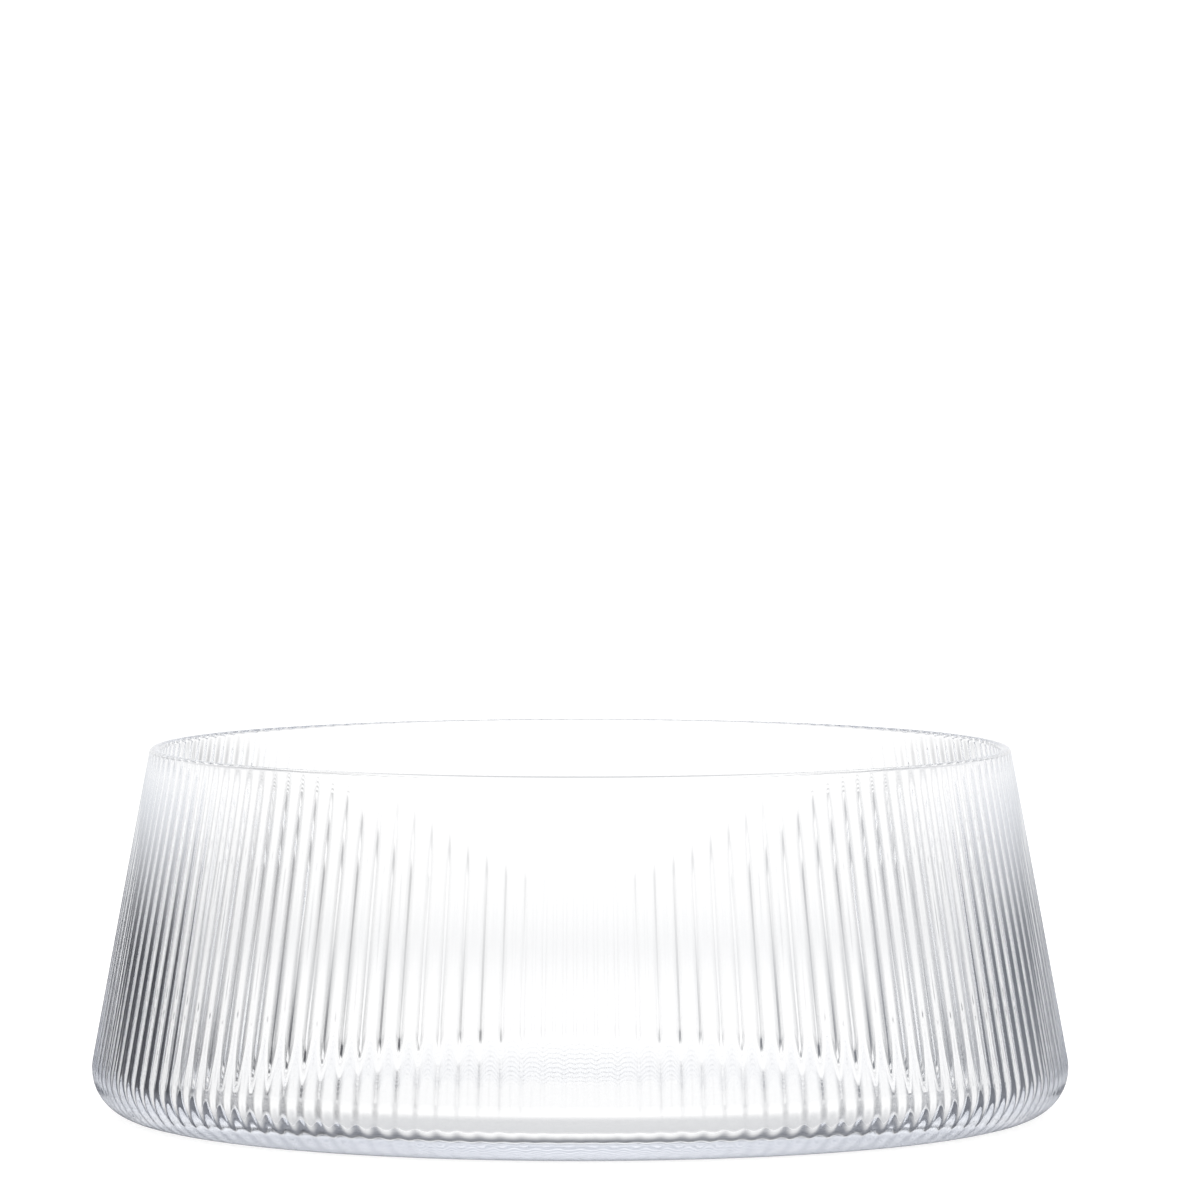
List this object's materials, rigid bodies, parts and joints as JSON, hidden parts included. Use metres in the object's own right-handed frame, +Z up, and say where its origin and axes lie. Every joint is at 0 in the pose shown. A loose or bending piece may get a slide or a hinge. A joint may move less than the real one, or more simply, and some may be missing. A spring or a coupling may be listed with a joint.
{
  "type": "salad bowl",
  "caption": "Wide low bowl of clear glass with fine upright ribs outside, smooth inside, thick base, rounded heel and a wall leaning in to a rounded rim.",
  "frame": {"origin": "centre of the foot, on the surface the bowl stands on", "axes": "+Z up along the bowl's axis, from the foot to the rim; X and Y are alike"},
  "size_m": [0.25, 0.25, 0.094],
  "materials": {
    "clear_glass": "clear, polished, faintly cool in the thick base"
  },
  "bodies": {
    "root": {"glass_bowl": "clear_glass"}
  },
  "joints": []
}
